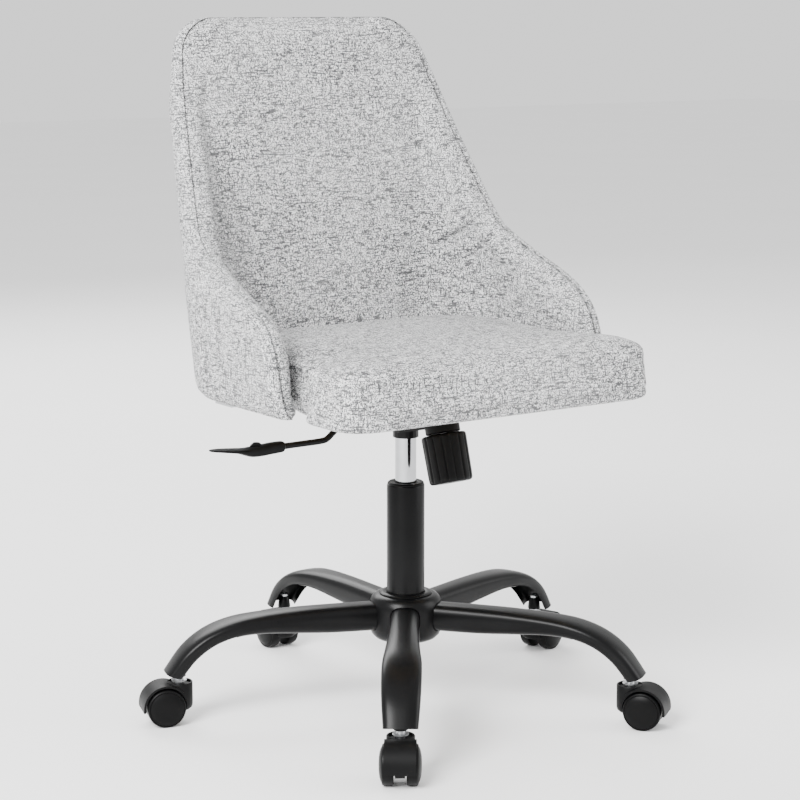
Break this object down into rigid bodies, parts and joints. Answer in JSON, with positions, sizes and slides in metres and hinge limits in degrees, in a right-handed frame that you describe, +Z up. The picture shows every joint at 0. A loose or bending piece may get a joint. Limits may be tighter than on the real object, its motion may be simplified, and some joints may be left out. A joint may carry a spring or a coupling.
{
  "type": "swivel desk chair",
  "caption": "Upholstered swivel desk chair with a wrap-around back, gas-lift column, tilt mechanism and five-leg steel base on twin-wheel casters.",
  "frame": {"origin": "on the floor under the column axis", "axes": "+Z up along the column; the chair faces -Y; +X is the sitter's left"},
  "size_m": [0.691, 0.6573, 0.902],
  "materials": {
    "black_steel": "satin black powder coat",
    "black_plastic": "matt moulded black",
    "wheel_plastic": "satin moulded black",
    "chrome": "polished",
    "bright_steel": "zinc plated",
    "plywood": "raw sanded",
    "grey_fabric": "light grey melange weave"
  },
  "bodies": {
    "base": {"base_hub": "black_steel", "hub_ring": "black_steel", "column_tube": "black_steel", "column_bush": "black_plastic", "base_leg_1": "black_steel", "base_leg_2": "black_steel", "base_leg_3": "black_steel", "base_leg_4": "black_steel", "base_leg_5": "black_steel", "caster_stem_1": "bright_steel", "caster_stem_2": "bright_steel", "caster_stem_3": "bright_steel", "caster_stem_4": "bright_steel", "caster_stem_5": "bright_steel"},
    "lift_rod": {"piston_rod": "bright_steel", "thrust_bearing": "bright_steel", "retaining_clip": "bright_steel"},
    "mechanism": {"lift_cylinder": "chrome", "mechanism_housing": "black_steel", "tilt_pivot_pin": "bright_steel", "tension_collar": "black_plastic", "tension_bolt": "bright_steel", "tension_spring": "bright_steel"},
    "release_button": {"release_button": "bright_steel"},
    "release_cam": {"release_cam": "black_steel"},
    "height_lever": {"lever_rod": "black_steel", "lever_handle": "black_plastic"},
    "tension_knob": {"tension_knob": "black_plastic"},
    "spring_cup": {"tension_cup": "bright_steel"},
    "seat": {"seat_plate": "black_steel", "seat_board": "plywood", "seat_cushion": "grey_fabric", "back_shell": "grey_fabric", "back_pad": "grey_fabric", "back_strap_left": "bright_steel", "back_strap_right": "bright_steel", "seat_bolt_1": "bright_steel", "seat_bolt_2": "bright_steel", "seat_bolt_3": "bright_steel", "seat_bolt_4": "bright_steel"},
    "caster_1": {"caster_hood_1": "black_plastic", "caster_axle_1": "bright_steel"},
    "wheel_left_1": {"caster_wheel_left_1": "wheel_plastic"},
    "wheel_right_1": {"caster_wheel_right_1": "wheel_plastic"},
    "caster_2": {"caster_hood_2": "black_plastic", "caster_axle_2": "bright_steel"},
    "wheel_left_2": {"caster_wheel_left_2": "wheel_plastic"},
    "wheel_right_2": {"caster_wheel_right_2": "wheel_plastic"},
    "caster_3": {"caster_hood_3": "black_plastic", "caster_axle_3": "bright_steel"},
    "wheel_left_3": {"caster_wheel_left_3": "wheel_plastic"},
    "wheel_right_3": {"caster_wheel_right_3": "wheel_plastic"},
    "caster_4": {"caster_hood_4": "black_plastic", "caster_axle_4": "bright_steel"},
    "wheel_left_4": {"caster_wheel_left_4": "wheel_plastic"},
    "wheel_right_4": {"caster_wheel_right_4": "wheel_plastic"},
    "caster_5": {"caster_hood_5": "black_plastic", "caster_axle_5": "bright_steel"},
    "wheel_left_5": {"caster_wheel_left_5": "wheel_plastic"},
    "wheel_right_5": {"caster_wheel_right_5": "wheel_plastic"}
  },
  "joints": [
    {"name": "seat_swivel", "type": "hinge", "parent": "base", "child": "lift_rod", "pos_m": [0, 0, 0.3], "axis": [0, 0, 1], "continuous": true},
    {"name": "seat_lift", "type": "slide", "parent": "lift_rod", "child": "mechanism", "axis": [0, 0, 1], "range_m": [-0.058, 0.042]},
    {"name": "seat_tilt", "type": "hinge", "parent": "mechanism", "child": "seat", "pos_m": [0, -0.045, 0.402], "axis": [-1, 0, 0], "range_deg": [0, 10], "stiffness_Nm_per_rad": 90, "springref_deg": -25.78},
    {"name": "lever_lift", "type": "hinge", "parent": "mechanism", "child": "release_cam", "pos_m": [-0.026, 0, 0.401], "axis": [0, 1, 0], "range_deg": [0, 6]},
    {"name": "lever_pull", "type": "slide", "parent": "release_cam", "child": "height_lever", "axis": [-1, 0, 0], "range_m": [0, 0.01]},
    {"name": "button_press", "type": "slide", "parent": "mechanism", "child": "release_button", "axis": [0, 0, -1], "range_m": [0, 0.0028], "stiffness_N_per_m": 600},
    {"name": "tension_turn", "type": "hinge", "parent": "mechanism", "child": "tension_knob", "pos_m": [0, -0.0786, 0.3957], "axis": [0, -0.2924, -0.9563], "range_deg": [-725, 725]},
    {"name": "cup_travel", "type": "slide", "parent": "mechanism", "child": "spring_cup", "axis": [0, 0.2924, 0.9563], "range_m": [-0.004, 0.004], "deforming": ["tension_spring"]},
    {"name": "caster_swivel_1", "type": "hinge", "parent": "base", "child": "caster_1", "pos_m": [0, 0.307, 0.05], "axis": [0, 0, 1], "continuous": true},
    {"name": "wheel_left_spin_1", "type": "hinge", "parent": "caster_1", "child": "wheel_left_1", "pos_m": [0, 0.327, 0.025], "axis": [-1, 0, 0], "continuous": true},
    {"name": "wheel_right_spin_1", "type": "hinge", "parent": "caster_1", "child": "wheel_right_1", "pos_m": [0, 0.327, 0.025], "axis": [-1, 0, 0], "continuous": true},
    {"name": "caster_swivel_2", "type": "hinge", "parent": "base", "child": "caster_2", "pos_m": [-0.29197, 0.09487, 0.05], "axis": [0, 0, 1], "continuous": true},
    {"name": "wheel_left_spin_2", "type": "hinge", "parent": "caster_2", "child": "wheel_left_2", "pos_m": [-0.311, 0.10105, 0.025], "axis": [-0.309, -0.9511, 0], "continuous": true},
    {"name": "wheel_right_spin_2", "type": "hinge", "parent": "caster_2", "child": "wheel_right_2", "pos_m": [-0.311, 0.10105, 0.025], "axis": [-0.309, -0.9511, 0], "continuous": true},
    {"name": "caster_swivel_3", "type": "hinge", "parent": "base", "child": "caster_3", "pos_m": [-0.18045, -0.24837, 0.05], "axis": [0, 0, 1], "continuous": true},
    {"name": "wheel_left_spin_3", "type": "hinge", "parent": "caster_3", "child": "wheel_left_3", "pos_m": [-0.19221, -0.26455, 0.025], "axis": [0.809, -0.5878, 0], "continuous": true},
    {"name": "wheel_right_spin_3", "type": "hinge", "parent": "caster_3", "child": "wheel_right_3", "pos_m": [-0.19221, -0.26455, 0.025], "axis": [0.809, -0.5878, 0], "continuous": true},
    {"name": "caster_swivel_4", "type": "hinge", "parent": "base", "child": "caster_4", "pos_m": [0.18045, -0.24837, 0.05], "axis": [0, 0, 1], "continuous": true},
    {"name": "wheel_left_spin_4", "type": "hinge", "parent": "caster_4", "child": "wheel_left_4", "pos_m": [0.19221, -0.26455, 0.025], "axis": [0.809, 0.5878, 0], "continuous": true},
    {"name": "wheel_right_spin_4", "type": "hinge", "parent": "caster_4", "child": "wheel_right_4", "pos_m": [0.19221, -0.26455, 0.025], "axis": [0.809, 0.5878, 0], "continuous": true},
    {"name": "caster_swivel_5", "type": "hinge", "parent": "base", "child": "caster_5", "pos_m": [0.29197, 0.09487, 0.05], "axis": [0, 0, 1], "continuous": true},
    {"name": "wheel_left_spin_5", "type": "hinge", "parent": "caster_5", "child": "wheel_left_5", "pos_m": [0.311, 0.10105, 0.025], "axis": [-0.309, 0.9511, 0], "continuous": true},
    {"name": "wheel_right_spin_5", "type": "hinge", "parent": "caster_5", "child": "wheel_right_5", "pos_m": [0.311, 0.10105, 0.025], "axis": [-0.309, 0.9511, 0], "continuous": true}
  ],
  "couplings": [
    {"joint": "button_press", "follows": "lever_lift", "m_per_rad": 0.026},
    {"joint": "tension_turn", "follows": "cup_travel", "rad_per_m": 3141.6}
  ]
}
